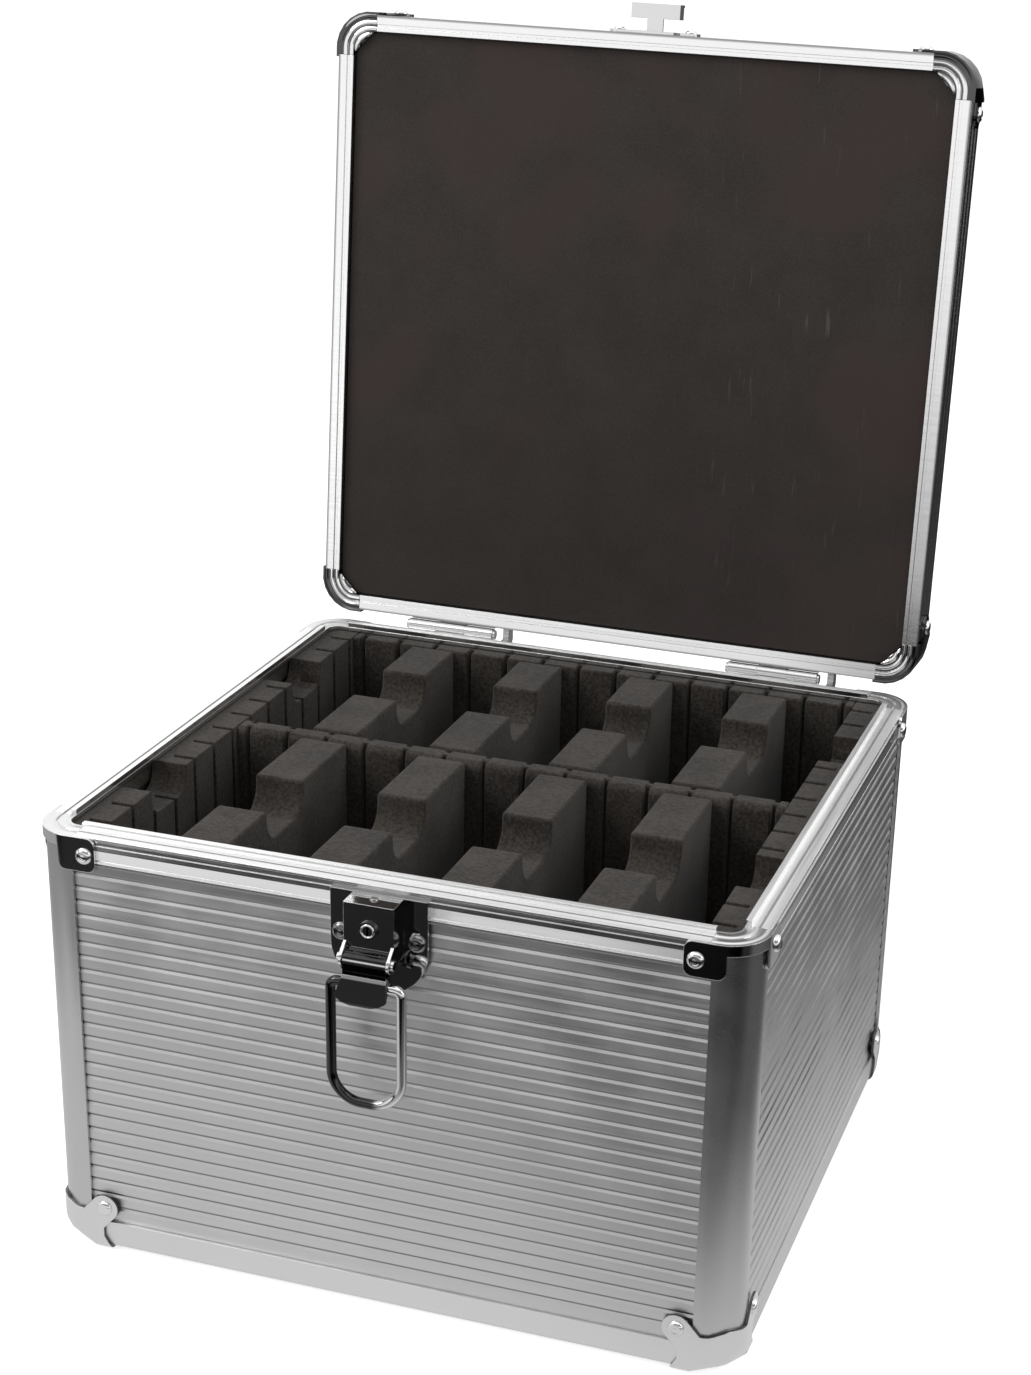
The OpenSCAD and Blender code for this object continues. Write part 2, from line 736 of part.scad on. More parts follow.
// Height over the hinge axis at which a stop meets the open lid, at a distance behind the axis
function stop_top(y) = (hinge_y - half_d - y * sin(lid_open - 90)) / cos(lid_open - 90) - 0.8 * fit;
module hinge_base_leaves() {
    end_w = knuckle_w - fit / 2;
    lug_x = hinge_w / 2 + 4;
    color("silver") difference() {
        union() {
            for (m = [-1, 1]) {
                translate([m * hinge_x - hinge_w / 2, half_d, leaf_low])
                    cube([lug_x + stop_w + hinge_w / 2, leaf_t, leaf_top - leaf_low]);
                for (s = [-1, 1]) difference() {
                    union() {
                        knuckle(m * hinge_x + s * knuckle_w, end_w, hinge_pin_r + pin_fit);
                        translate([m * hinge_x + s * knuckle_w - end_w / 2, half_d, leaf_top - 0.3])
                            cube([end_w, hinge_y - half_d, 1.2]);
                    }
                    translate([m * hinge_x + s * knuckle_w, hinge_y, hinge_z]) rotate([0, 90, 0])
                        cylinder(r = hinge_pin_r + pin_fit, h = hinge_w, center = true);
                }
                translate([m * hinge_x + lug_x, hinge_y, hinge_z]) rotate([90, 0, 90])
                    linear_extrude(stop_w) polygon([[half_d - hinge_y, -10], [half_d - hinge_y, -1.6],
                        [0.6, -1.6], [1.2, stop_top(1.2)], [6.5, stop_top(6.5)], [6.5, -3], [1, -10]]);
            }
        }
        base_fixings(true);
    }
}
module hinge_lid_leaves() {
    mid_w = knuckle_w - fit;
    color("silver") open_lid() difference() {
        for (m = [-1, 1]) {
            translate([m * hinge_x - hinge_w / 2, half_d, lid_leaf_low])
                cube([hinge_w, leaf_t, lid_leaf_top - lid_leaf_low]);
            difference() {
                union() {
                    knuckle(m * hinge_x, mid_w, hinge_pin_r + pin_fit);
                    translate([m * hinge_x - mid_w / 2, half_d, hinge_z + 1.1])
                        cube([mid_w, hinge_y - half_d, 1.2]);
                    translate([m * hinge_x - mid_w / 2, half_d, hinge_z + 1.1])
                        cube([mid_w, leaf_t, lid_leaf_low - hinge_z]);
                }
                translate([m * hinge_x, hinge_y, hinge_z]) rotate([0, 90, 0])
                    cylinder(r = hinge_pin_r + pin_fit, h = hinge_w, center = true);
            }
        }
        lid_fixings(true);
    }
}
module hinge_pins() {
    head = 0.8;
    color("gray") for (m = [-1, 1]) translate([m * hinge_x, hinge_y, hinge_z]) rotate([0, 90, 0]) {
        cylinder(r = hinge_pin_r, h = hinge_w + 2 * fit, center = true);
        for (s = [-1, 1]) translate([0, 0, s * (hinge_w / 2 + fit + head / 2)])
            cylinder(r = knuckle_r - 0.6, h = head, center = true);
    }
}

// Catch on the front of the lid
catch_rivet_x = 14.8;
catch_t = 11;
module lid_catch() {
    half = 10;
    neck = 3.3;
    reach = 11.5;
    window = 5.8;
    side_h = 5.5;
    color("silver") open_lid() translate([0, -half_d, lid_z]) difference() {
        union() {
            rotate([90, 0, 0]) linear_extrude(leaf_t) {
                translate([-half, 2.5]) square([2 * half, 18]);
                round_bar([-catch_rivet_x, catch_t], [catch_rivet_x, catch_t], 3.7);
            }
            translate([-neck, -reach, shelf_t]) cube([2 * neck, reach, 1]);
            translate([-half, -reach, shelf_t]) cube([2 * half, reach - window, 1]);
            translate([-half, -reach, shelf_t]) cube([2 * half, 1, 6.5]);
            for (x = [-half, half - 1]) translate([x, -reach, shelf_t]) cube([1, reach - window, side_h]);
        }
        translate([0, half_d, -lid_z]) lid_fixings(true);
    }
}

// Latch
module latch_plate() {
    color("silver") difference() {
        out_of_side(0, 0, plate_z) linear_extrude(plate_t) {
            intersection() {
                circle(latch_r);
                translate([-latch_r, -latch_r]) square([2 * latch_r, latch_r]);
            }
            translate([-latch_r, 0]) square([2 * latch_r, box_top - plate_z]);
        }
        latch_fixings(true);
    }
}

// Moves a shape drawn as [distance outwards, height] to a slice across X
module latch_slice(x, w) {
    translate([x + w / 2, -half_d, 0]) rotate([90, 0, -90]) linear_extrude(w) children();
}
module lever_pin_hole(r) {
    translate([0, -half_d - lever_a, lever_z]) rotate([0, 90, 0]) cylinder(r = r, h = 40, center = true);
}
module lock_box() {
    color("silver") difference() {
        union() {
            for (m = [-1, 1]) latch_slice(m * (box_x - sheet_t / 2), sheet_t) {
                polygon([[plate_t, lever_z - 1], [lever_a, lever_z - ear_round],
                    [lever_a + 2, lever_z + 2], [box_a, box_low + 3.5], [box_a, box_top], [plate_t, box_top]]);
                translate([lever_a, lever_z]) circle(ear_round);
            }
            translate([-box_x, -half_d - box_a, box_low]) cube([2 * box_x, sheet_t, box_top - box_low]);
            translate([-box_x, -half_d - box_a, box_top - sheet_t])
                cube([2 * box_x, box_a - plate_t, sheet_t]);
        }
        lever_pin_hole(lever_pin_r + pin_fit);
        translate([0, -half_d, lock_z]) rotate([90, 0, 0]) cylinder(r = lock_r + pin_fit, h = 20);
        translate([0, -half_d - box_a / 2, box_top - 3]) cylinder(r = 0.75, h = 6);
    }
}
module lever_pin() {
    color("gray") translate([0, -half_d - lever_a, lever_z]) rotate([0, 90, 0]) {
        cylinder(r = lever_pin_r, h = 2 * (box_x + 0.2), center = true);
        for (m = [-1, 1]) translate([0, 0, m * (box_x + 0.6)])
            cylinder(r = lever_pin_r + 0.8, h = 1, center = true);
    }
}
module latch_lever() {
    front = lever_a + 1.2;
    bend_z = lever_z - 5;
    toe_a = front + 4.3;
    toe_z = bend_z - 8;
    color("silver") difference() {
        union() {
            latch_slice(0, lever_w) {
                translate([lever_a, lever_z]) circle(hub_r);
                polygon([[front, lever_z], [front + 1.1, lever_z], [front + 1.2, bend_z], [front, bend_z]]);
            }
            intersection() {
                latch_slice(0, 30) polygon([[front, bend_z + 1.5], [front + 1.2, bend_z + 1.5],
                    [front + 1.2, bend_z], [toe_a + 1, toe_z], [toe_a + 0.6, toe_z - 1],
                    [toe_a - 0.6, toe_z - 1], [toe_a - 0.2, toe_z], [front, bend_z]]);
                out_of_side(0, 0, 0) linear_extrude(30) intersection() {
                    polygon([[-lever_w / 2, lever_z], [lever_w / 2, lever_z], [lever_w / 2, bend_z],
                        [9, toe_z + 3], [9, toe_z - 2], [-9, toe_z - 2], [-9, toe_z + 3],
                        [-lever_w / 2, bend_z]]);
                    translate([0, toe_z + 15]) circle(16.4);
                }
            }
            for (m = [-1, 1]) latch_slice(m * (lever_w - lever_ear_t) / 2, lever_ear_t) {
                translate([bail_a, bail_z]) circle(ear_round);
                polygon([[lever_a - 1, lever_z], [front + 1, lever_z], [front + 0.6, bend_z],
                    [front + 2.2, bail_z], [bail_a, bail_z - 2], [bail_a - 2.5, bail_z + 1]]);
            }
            latch_slice(0, 6) polygon([[lever_a - 1, lever_z + 0.4], [tail_a + 1.2, lever_z + 0.4],
                [tail_a + 1.2, tail_z], [tail_a, tail_z], [tail_a, lever_z - 0.8], [lever_a - 1, lever_z - 0.8]]);
        }
        lever_pin_hole(lever_pin_r + pin_fit);
        translate([0, -half_d - bail_a, bail_z]) rotate([0, 90, 0])
            cylinder(r = wire_d / 2 + pin_fit, h = 40, center = true);
    }
}

// Bent wire loop that hooks over the catch
module bail_loop() {
    r = wire_d / 2;
    bend = 2.5;
    pin_in = lever_w / 2 - lever_ear_t - 0.6;
    leg_low = bail_len - bail_r;
    bar = bail_x - bail_r;
    color("silver") translate([0, -half_d - bail_a, bail_z]) {
        for (m = [0, 1]) mirror([m, 0, 0]) {
            translate([pin_in, 0, 0]) rotate([0, 90, 0]) cylinder(r = r, h = bail_x - bend - pin_in);
            translate([bail_x - bend, 0, -bend]) rotate([90, 0, 0])
                rotate_extrude(angle = 90) translate([bend, 0]) circle(r);
            translate([bail_x, 0, -leg_low]) cylinder(r = r, h = leg_low - bend);
            translate([bar, 0, -leg_low]) rotate([90, 0, 0]) rotate([0, 0, -90])
                rotate_extrude(angle = 90) translate([bail_r, 0]) circle(r);
        }
        translate([-bar, 0, -bail_len]) rotate([0, 90, 0]) cylinder(r = r, h = 2 * bar);
    }
}
module lock_cylinder() {
    head_t = 0.8;
    color("dimgray") out_of_side(0, 0, lock_z) difference() {
        union() {
            translate([0, 0, cam_a]) cylinder(r = lock_r, h = box_a + fit - cam_a);
            translate([0, 0, box_a + fit]) cylinder(r = lock_r + 0.7, h = head_t);
            translate([0, -1.6, cam_a]) cube([cam_reach, 3.2, cam_t]);
        }
        translate([-0.45, -1.8, box_a - 1]) cube([0.9, 3.6, 4]);
    }
}

// Handle brackets and the handle, folded flat on the closed lid
module at_pivot(x) { translate([x, pivot_y, pivot_z]) rotate([0, 90, 0]) children(); }
module handle_brackets() {
    boss = grip_d / 2;
    color("dimgray") open_lid() difference() {
        for (m = [0, 1]) mirror([m, 0, 0]) {
            at_pivot(bracket_in) cylinder(r = boss, h = bracket_w);
            translate([bracket_in, pivot_y - boss, lid_face])
                cube([bracket_w, 2 * boss, pivot_z - lid_face]);
            translate([bracket_in, pivot_y - boss - 4.5, lid_face])
                cube([bracket_rivet_x + 4.5 - bracket_in, 2 * boss + 9, foot_plate_t]);
        }
        at_pivot(-half_w) cylinder(r = stub_r + pin_fit, h = case_w);
        lid_fixings(true);
    }
}
module handle_grip() {
    r = grip_d / 2;
    arm_out = bracket_in - 0.4;
    arm_x = arm_out - r;
    color("#26262a") open_lid() {
        for (m = [0, 1]) mirror([m, 0, 0]) {
            at_pivot(arm_out - grip_d) cylinder(r = r, h = grip_d);
            at_pivot(arm_out - 1) cylinder(r = stub_r, h = bracket_w);
            translate([arm_x, pivot_y, pivot_z]) rotate([-90, 0, 0])
                cylinder(r = r, h = grip_reach - grip_bend);
            translate([arm_x - grip_bend, pivot_y + grip_reach - grip_bend, pivot_z])
                rotate_extrude(angle = 90) translate([grip_bend, 0]) circle(r);
        }
        translate([-arm_x + grip_bend, pivot_y + grip_reach, pivot_z]) rotate([0, 90, 0])
            cylinder(r = r, h = 2 * (arm_x - grip_bend));
    }
}

front_panel();
back_panel();
left_panel();
right_panel();
bottom_panel();
post_front_left();
post_front_right();
post_back_right();
post_back_left();
rim_front();
rim_right();
rim_back();
rim_left();
rim_corner_front_left();
rim_corner_front_right();
rim_corner_back_right();
rim_corner_back_left();
bottom_rail_front();
bottom_rail_right();
bottom_rail_back();
bottom_rail_left();
foot_corner_front_left();
foot_corner_front_right();
foot_corner_back_right();
foot_corner_back_left();
base_rivets();
base_feet();
foam_front_wall();
foam_back_wall();
foam_left_wall();
foam_right_wall();
foam_cross_wall();
foam_floor();
foam_dividers_front();
foam_dividers_back();
hinge_base_leaves();
hinge_pins();
latch_plate();
lock_box();
latch_rivets();
lever_pin();
latch_lever();
bail_loop();
lock_cylinder();
lid_panel();
lid_rail_front();
lid_rail_right();
lid_rail_back();
lid_rail_left();
lid_corner_front_left();
lid_corner_front_right();
lid_corner_back_right();
lid_corner_back_left();
lid_lining();
lid_rivets();
lid_catch();
handle_brackets();
hinge_lid_leaves();
handle_grip();
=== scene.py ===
# Looks of the padded drive case: metal finishes, smooth corners, dome rivets and kerfed foam round the frame
import json
import math

import bmesh
import bpy
from mathutils import Matrix, Vector


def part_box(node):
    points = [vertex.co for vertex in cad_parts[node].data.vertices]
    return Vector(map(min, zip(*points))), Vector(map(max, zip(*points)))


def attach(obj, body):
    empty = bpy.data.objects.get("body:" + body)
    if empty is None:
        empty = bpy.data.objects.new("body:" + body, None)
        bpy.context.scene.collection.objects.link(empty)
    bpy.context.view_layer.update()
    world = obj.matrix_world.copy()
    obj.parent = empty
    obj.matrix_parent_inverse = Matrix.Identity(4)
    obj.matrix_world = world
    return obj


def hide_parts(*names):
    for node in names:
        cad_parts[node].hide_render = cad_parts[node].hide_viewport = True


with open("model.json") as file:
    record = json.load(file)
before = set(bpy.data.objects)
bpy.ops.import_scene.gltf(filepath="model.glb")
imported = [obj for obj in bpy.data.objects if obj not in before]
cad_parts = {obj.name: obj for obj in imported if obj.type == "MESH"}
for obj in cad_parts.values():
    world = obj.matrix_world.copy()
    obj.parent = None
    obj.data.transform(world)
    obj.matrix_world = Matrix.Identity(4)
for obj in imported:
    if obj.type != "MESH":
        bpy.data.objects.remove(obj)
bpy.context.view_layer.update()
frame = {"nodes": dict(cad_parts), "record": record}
nodes = frame["nodes"]
behaviour = frame["record"]["behaviour"]
MM = 0.001


def joint(name):
    return next(j for j in behaviour["joints"] if j["name"] == name)


# Camera of the photograph, in the frame's millimetres and the picture's pixels
PICTURE_W = 1031
PICTURE_H = 1375
FOCAL_PX = 2452.667
CENTRE_PX = (640.703, 783.83)
CAMERA_MM = (287.462, -806.27, 514.234)
AZIMUTH = math.radians(16.227)
ELEVATION = math.radians(22.637)
ROLL = math.radians(2.228)
SENSOR_MM = 36

# Outline of the case, seen from above or on the open lid from the front
CORNER_MM = 13.5
HALF_MM = (130, 123)
OPENED = math.radians(joint("lid_hinge")["range_deg"][0])
LID_HALF_MM = (HALF_MM[0], HALF_MM[1] * abs(math.sin(OPENED)))
LID_MIDDLE_MM = 293.2
LID_DOWN = Vector((0, math.cos(OPENED), math.sin(OPENED)))
LID_OUT = Vector((0, -math.sin(OPENED), math.cos(OPENED)))

# Heights on the rim, on the rail at the foot of the open lid and on the latch's lever
RIM_MM = 165.1
SKIRT_RECESS_MM = RIM_MM - 0.2
SKIRT_FOLD_MM = RIM_MM - 3.1
SKIRT_GROOVES_MM = RIM_MM - 8.2
SKIRT_SHADE_MM = RIM_MM - 12.4
SKIRT_LEAN = 0.3
LID_FOOT_MM = 184
LID_FOOT_LEAN = 0.22
LEVER_FOLDS_MM = ((138.4, 139.8), (143.6, 145.2))

# Distances inwards from the outline: the groove on top of the rim, and the corners' first bead and pitch
TOP_GROOVE_MM = (3.5, 4.5)
RIM_BEADS_MM = (1.9, 4.2)
RIM_BEAD_HEIGHT = 0.16
LID_BEADS_MM = (2.9, 2.4)
LID_BEAD_HEIGHT = 0.14

# Soft edges where finishes, painted shade and painted reflections change, in millimetres: where the change
# begins and where it ends
BAIL_BEND_X = (2, 7)
DARK_LOW_RIGHT_X = (60, 116)
DARK_LOW_RIGHT_Z = (200, 400)
RAIL_ROUNDING = (0.3, 1.2)
CORNER_ROUNDING = (1.3, 2.1)
SCRATCHED_X = (10, 70)
SHADED_Z = (170, 400)

# The same for the direction that a surface looks in
LOOKS_DOWN_Z = (-0.35, -0.15)
LOOKS_UP_Z = (0.6, 0.8)
LOOKS_AHEAD_Y = (0.45, 0.7)

# Widths of the blots and lines in the metals and foams
CLOUD_MM = 28
STREAK_MM = 1.2
BROAD_MM = 22
SCRATCH_MM = 3
PATCH_MM = 60
GRAIN_MM = 0.8
ALONG_X = (0.02, 1, 1)
ALONG_Y = (1, 0.02, 1)
SCRATCH_STRETCH = (1, 1, 0.05)

# The lining's scratches, rubbed patches and the painted shade at its foot
SCRATCH_COLOUR = (0.11, 0.105, 0.095, 1)
RUBBED_COLOUR = (0.048, 0.0315, 0.0305, 1)
SHADED_COLOUR = (0.018, 0.015, 0.013, 1)

# Copies of the frame's nodes
WELD_MM = 0.002
FLAT_TURN = math.radians(1)
SMOOTH_TURN = math.radians(32)
SOFT_TURN = math.radians(40)
WALL_SOFT_MM = 0.9
DIVIDER_SOFT_MM = 1.3
LINING_SOFT_MM = 0.8

# Rivet heads, with lengths as shares of their radius, and the ring on the lock
HEAD_RIM = 0.97
OUT_OF_ROUND_COST = 10
CROWN_HEIGHT = 0.58
DIMPLE_DEPTH = 0.16
DIMPLE_SLOPE = (0.62, 0.42)
HEAD_BACK = 0.1
HEAD_SIDES = 32
HEAD_RINGS = 20
RING_MM = 2.2
RING_WIRE_MM = 0.42

# How bright polished metal finds the room, and the world's light on everything else
SHEET_LEVEL = 0.74
FRONT_BAND = 0.95
FRONT_HIGH = 0.3
ABOVE_LEVEL = 1.4
BACK_WALL = 1.05
SKY_LEVEL = 0.62

# Soft edges of the floor's painted reflection, in metres from the middle of the case: a white sheet with
# painted shade and, beyond it, a board
SHEET_FRONT_Y = (-0.355, -0.305)
SHEET_LEFT_X = (-0.42, -0.27)
SHEET_RIGHT_X = (0.13, 0.33)
DIM_TO_RIGHT_X = (-0.20, 0.06)
NEAR_CASE_Y = (-0.26, -0.13)
NEAR_SHIFT_X = (0.0, 0.09)
NEAR_SHIFT = 0.05
BESIDE_CASE_X = (0.02, 0.12)
DIM_TO_REAR_Y = (-0.05, 0.42)
BOARD_Y = (-0.56, -0.48)
BOARD_LEFT_X = (-0.95, -0.70)
BOARD_RIGHT_X = (-0.32, -0.02)
BOARD_TURN_Y = -0.63
BOARD_SLANT = 0.2

# Soft edges in the world, as directions: the front half, the top of its bright band and the ceiling
FRONT_HALF_Y = (0.2, -0.2)
BAND_TOP_Z = (0.22, 0.42)
CEILING_Z = (0.7, 0.86)

FLOOR_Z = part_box("base_feet")[0][2]
FLOOR_HALF = 6
FLOOR_GLOW = 0.55
LIT_POINT = (0, 0, 0.15)


# Node trees
class Tree:
    """A node tree with short calls for the nodes used here."""

    def __init__(self, tree):
        self.tree = tree
        tree.nodes.clear()

    def add(self, kind, **settings):
        made = self.tree.nodes.new(kind)
        for key, value in settings.items():
            setattr(made, key, value)
        return made

    def link(self, source, target):
        self.tree.links.new(source, target)

    def feed(self, target, value):
        if isinstance(value, bpy.types.NodeSocket):
            self.link(value, target)
        else:
            target.default_value = value

    def math(self, operation, *values):
        """One operation on one value, or in turn on two and more."""
        result = values[0]
        for value in values[1:] or (0.0,):
            made = self.add("ShaderNodeMath", operation=operation)
            self.feed(made.inputs[0], result)
            self.feed(made.inputs[1], value)
            result = made.outputs[0]
        return result

    def plus(self, *values):
        return self.math("ADD", *values)

    def minus(self, a, b):
        return self.math("SUBTRACT", a, b)

    def times(self, *values):
        return self.math("MULTIPLY", *values)

    def most(self, *values):
        return self.math("MAXIMUM", *values)

    def size_of(self, value):
        return self.math("ABSOLUTE", value)

    def length(self, a, b):
        """The longest side of a right triangle with sides a and b."""
        return self.math("SQRT", self.plus(self.math("POWER", a, 2.0), self.math("POWER", b, 2.0)))

    def step(self, value, low, high, to_low=0.0, to_high=1.0):
        """A soft change between two values, from where it begins to where it ends."""
        made = self.add("ShaderNodeMapRange", interpolation_type="SMOOTHSTEP")
        self.feed(made.inputs["Value"], value)
        made.inputs["From Min"].default_value = low
        made.inputs["From Max"].default_value = high
        made.inputs["To Min"].default_value = to_low
        made.inputs["To Max"].default_value = to_high
        return made.outputs["Result"]

    def band(self, value, low, high, soft):
        """1 between low and high, with soft edges."""
        begins = self.step(value, low - soft, low + soft)
        ends = self.step(value, high - soft, high + soft, 1.0, 0.0)
        return self.times(begins, ends)

    def mix(self, factor, a, b):
        made = self.add("ShaderNodeMix", data_type="FLOAT")
        self.feed(made.inputs[0], factor)
        self.feed(made.inputs[2], a)
        self.feed(made.inputs[3], b)
        return made.outputs[0]

    def tint(self, factor, a, b):
        made = self.add("ShaderNodeMix", data_type="RGBA")
        self.feed(made.inputs[0], factor)
        self.feed(made.inputs[6], a)
        self.feed(made.inputs[7], b)
        return made.outputs[2]

    def noise(self, size, stretch=(1, 1, 1), detail=3.0, rough=0.55):
        """Noise on object coordinates; size is the width of a blot in millimetres."""
        place = self.add("ShaderNodeTexCoord")
        mapping = self.add("ShaderNodeMapping")
        mapping.inputs["Scale"].default_value = stretch
        made = self.add("ShaderNodeTexNoise")
        made.inputs["Scale"].default_value = 1 / (size * MM)
        made.inputs["Detail"].default_value = detail
        made.inputs["Roughness"].default_value = rough
        self.link(place.outputs["Object"], mapping.inputs["Vector"])
        self.link(mapping.outputs["Vector"], made.inputs["Vector"])
        return made.outputs["Fac"]

    def bump(self, height, strength, distance_mm, normal=None):
        made = self.add("ShaderNodeBump")
        made.inputs["Strength"].default_value = strength
        made.inputs["Distance"].default_value = distance_mm * MM
        self.link(height, made.inputs["Height"])
        if normal:
            self.link(normal, made.inputs["Normal"])
        return made.outputs["Normal"]

    def split(self, vector):
        parts = self.add("ShaderNodeSeparateXYZ")
        self.link(vector, parts.inputs["Vector"])
        return parts.outputs["X"], parts.outputs["Y"], parts.outputs["Z"]

    def place_mm(self):
        """X, Y and Z of the object coordinates in millimetres."""
        scaled = self.add("ShaderNodeVectorMath", operation="SCALE")
        scaled.inputs["Scale"].default_value = 1 / MM
        self.link(self.add("ShaderNodeTexCoord").outputs["Object"], scaled.inputs[0])
        return self.split(scaled.outputs["Vector"])

    def facing(self):
        """X, Y and Z of the direction that the surface looks in."""
        return self.split(self.add("ShaderNodeTexCoord").outputs["Normal"])


def grey(level):
    return (level, level, level, 1)


def new_material(name):
    made = bpy.data.materials.new(name)
    made.use_nodes = True
    tree = Tree(made.node_tree)
    shader = tree.add("ShaderNodeBsdfPrincipled")
    out = tree.add("ShaderNodeOutputMaterial")
    tree.link(shader.outputs["BSDF"], out.inputs["Surface"])
    return made, tree, shader


# Where painted shade and painted reflections darken a finish, and where a finish is duller or shaped
def facing_up(tree):
    return tree.step(tree.facing()[2], *LOOKS_UP_Z)


def rib_painted_shade(tree):
    """Painted shade on the slopes under each rib, which darkens each groove, and a painted shadow on the
    strip under the rim's skirt.
    """
    slopes = tree.step(tree.facing()[2], *LOOKS_DOWN_Z, 1.0, 0.0)
    # Painted shadow on the panel under the rim's skirt
    skirt_painted_shadow = tree.times(tree.band(tree.place_mm()[2], SKIRT_SHADE_MM, RIM_MM, 0.4), 0.7)
    return tree.most(slopes, skirt_painted_shadow)


def outer_sides(tree):
    """The outer faces of the open lid, which look to neither the front nor the back."""
    return tree.step(tree.size_of(tree.facing()[1]), *LOOKS_AHEAD_Y, 1.0, 0.0)


def left_of_bend(tree):
    """The bail's left leg and its bend, painted dark as a painted reflection of the dark side of the room."""
    return tree.step(tree.place_mm()[0], *BAIL_BEND_X, 1.0, 0.0)


def outline_inset(tree, across, up, middle, halves):
    """Distance inwards from the case's rounded outline, in millimetres."""
    reach = tree.minus(tree.size_of(across), halves[0] - CORNER_MM)
    rise = tree.minus(tree.size_of(tree.minus(up, middle)), halves[1] - CORNER_MM)
    return tree.minus(CORNER_MM, tree.length(tree.most(reach, 0.0), tree.most(rise, 0.0)))


def rim_inset(tree):
    x, y, z = tree.place_mm()
    return outline_inset(tree, x, y, 0.0, HALF_MM)


def lid_inset(tree):
    x, y, z = tree.place_mm()
    return outline_inset(tree, x, z, LID_MIDDLE_MM, LID_HALF_MM)


def beads(tree, inset, first, pitch):
    """Beads pressed round a corner: 1 on a crest and -1 in a groove."""
    return tree.math("COSINE", tree.times(tree.minus(inset, first), 2 * math.pi / pitch))


def rim_beads(tree):
    return tree.times(beads(tree, rim_inset(tree), *RIM_BEADS_MM), RIM_BEAD_HEIGHT)


def lid_crests(tree):
    return beads(tree, lid_inset(tree), *LID_BEADS_MM)


def lid_beads(tree):
    return tree.times(lid_crests(tree), LID_BEAD_HEIGHT)


def lid_corner_painted_dark(tree):
    """Painted shade in the grooves between the beads, and a painted dark reflection on the rounding and the
    outer faces of a lid corner.
    """
    grooves = tree.step(lid_crests(tree), -0.9, -0.2, 1.0, 0.0)
    rounding = tree.step(lid_inset(tree), *CORNER_ROUNDING, 1.0, 0.0)
    return tree.most(grooves, rounding, outer_sides(tree))


def lid_rail_painted_dark(tree):
    """Painted dark reflection on the outer faces of the lid's rails, on the rounding that leads to them and
    on the low right.
    """
    x, y, z = tree.place_mm()
    low_right_dark = tree.times(tree.step(x, *DARK_LOW_RIGHT_X), tree.step(z, *DARK_LOW_RIGHT_Z, 0.5, 0.0))
    rounding = tree.step(lid_inset(tree), *RAIL_ROUNDING, 0.8, 0.0)
    return tree.most(low_right_dark, rounding, tree.times(outer_sides(tree), 0.5))


def lid_foot_slope(tree):
    """The rail at the foot of the open lid leans back, clear of the foam's reflection."""
    below = tree.minus(LID_FOOT_MM, tree.place_mm()[2])
    return tree.times(tree.most(below, 0.0), LID_FOOT_LEAN)


def rim_painted_shade(tree):
    """Painted shade in the recess at the top of the rim's skirt, in the two grooves at its foot and in the
    groove on top.
    """
    z = tree.place_mm()[2]
    recess = tree.times(tree.band(z, SKIRT_FOLD_MM, SKIRT_RECESS_MM, 0.1), 0.4)
    grooves = tree.step(z, SKIRT_GROOVES_MM - 0.1, SKIRT_GROOVES_MM + 0.1, 1.0, 0.0)
    top = tree.times(tree.band(rim_inset(tree), *TOP_GROOVE_MM, 0.2), 0.7)
    return tree.most(recess, grooves, top)


def rim_skirt_slope(tree):
    """The lower half of the rim's skirt leans in, so that it mirrors the sheet below."""
    below = tree.minus(SKIRT_FOLD_MM, tree.place_mm()[2])
    return tree.times(tree.most(below, 0.0), -SKIRT_LEAN)


def lever_painted_dark(tree):
    """The lever painted dark as a painted reflection, but for its two folds, which stay bright as painted
    highlights.
    """
    z = tree.place_mm()[2]
    folds = [tree.band(z, low, high, 0.2) for low, high in LEVER_FOLDS_MM]
    return tree.minus(1.0, tree.plus(*folds))


# Finishes
def metal(name, level, rough, streak=None, edge=0.0, blotch=0.04, dark=None, dark_level=0.2,
          dull=None, dull_rough=0.35, relief=None, grazing=1.0):
    """Metal with fine streaks along one axis, soft uneven polish and rounded edges."""
    made, tree, shader = new_material(name)
    cloud = tree.noise(CLOUD_MM, detail=4)
    shader.inputs["Metallic"].default_value = 1
    shader.inputs["Specular Tint"].default_value = grey(grazing)
    colour = tree.tint(cloud, grey(level - blotch), grey(level + blotch))
    # dark marks painted shade and painted reflections; the colour there is tinted towards dark_level
    if dark:
        colour = tree.tint(dark(tree), colour, grey(dark_level))
    tree.link(colour, shader.inputs["Base Color"])
    uneven = tree.step(cloud, 0.25, 0.75, rough * 0.85, rough * 1.15)
    if dull:
        uneven = tree.mix(dull(tree), uneven, dull_rough)
    normal = None
    if edge:
        soft = tree.add("ShaderNodeBevel", samples=4)
        soft.inputs["Radius"].default_value = edge * MM
        normal = soft.outputs["Normal"]
    if relief:
        normal = tree.bump(relief(tree), 1, 1, normal)
    if streak:
        lines = tree.noise(STREAK_MM, stretch=streak, detail=2)
        uneven = tree.plus(uneven, tree.step(lines, 0.3, 0.7, -0.04, 0.04))
        normal = tree.bump(lines, 0.12, 0.05, normal)
    if normal:
        tree.link(normal, shader.inputs["Normal"])
    tree.link(uneven, shader.inputs["Roughness"])
    return made


def bright(name, level, rough, streak=None, edge=0.3, **more):
    """Polished metal, with soft edges and little blotch."""
    return metal(name, level, rough, streak, edge, blotch=0.02, **more)


def rim_metal(name, streak):
    return bright(name, 0.96, 0.2, streak, dull=facing_up, dull_rough=0.5, relief=rim_skirt_slope,
                  dark=rim_painted_shade, dark_level=0.3)


